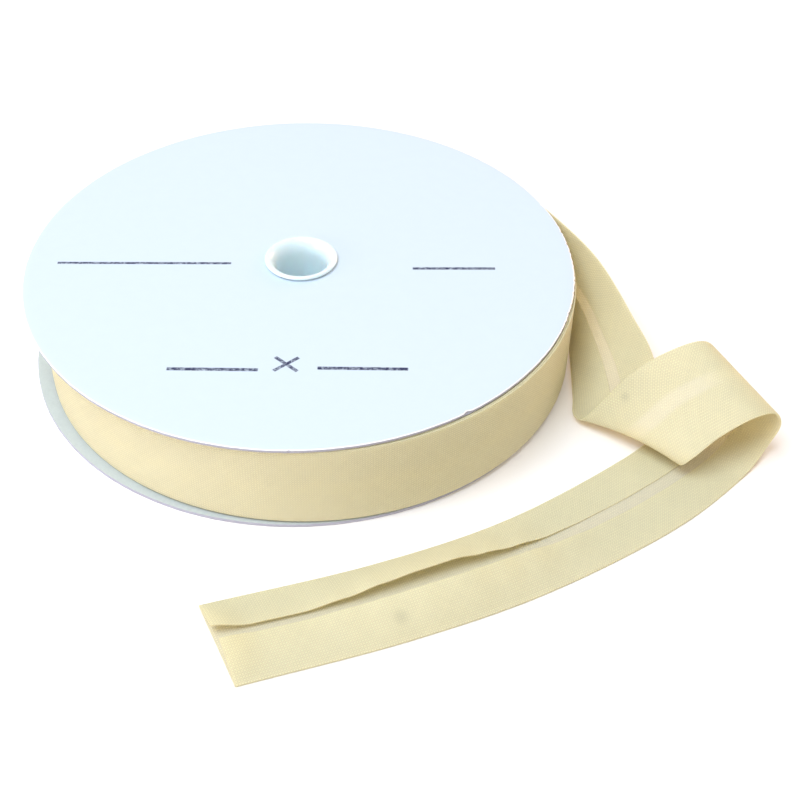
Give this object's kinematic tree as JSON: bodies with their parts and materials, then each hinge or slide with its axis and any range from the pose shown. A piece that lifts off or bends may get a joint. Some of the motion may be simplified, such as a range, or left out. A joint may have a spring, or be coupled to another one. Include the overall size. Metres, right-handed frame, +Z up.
{
  "type": "roll of bias tape",
  "caption": "Flat reel of folded bias tape: two card discs on a plastic hub, with the loose end turned over and lying in front.",
  "frame": {"origin": "on the surface the part rests on, under the middle of the whole part", "axes": "+Z up along the reel's axis; the loose end lies towards -Y and +X"},
  "size_m": [0.1532, 0.1506, 0.021],
  "materials": {
    "card": "matt coated paper face on grey board",
    "hub_plastic": "smooth moulded white plastic",
    "tape_cloth": "plain weave cloth cut on the bias, pressed folds"
  },
  "bodies": {
    "root": {"flange_top": "card", "flange_bottom": "card", "hub": "hub_plastic", "tape_roll": "tape_cloth", "tape_end": "tape_cloth"}
  },
  "joints": []
}
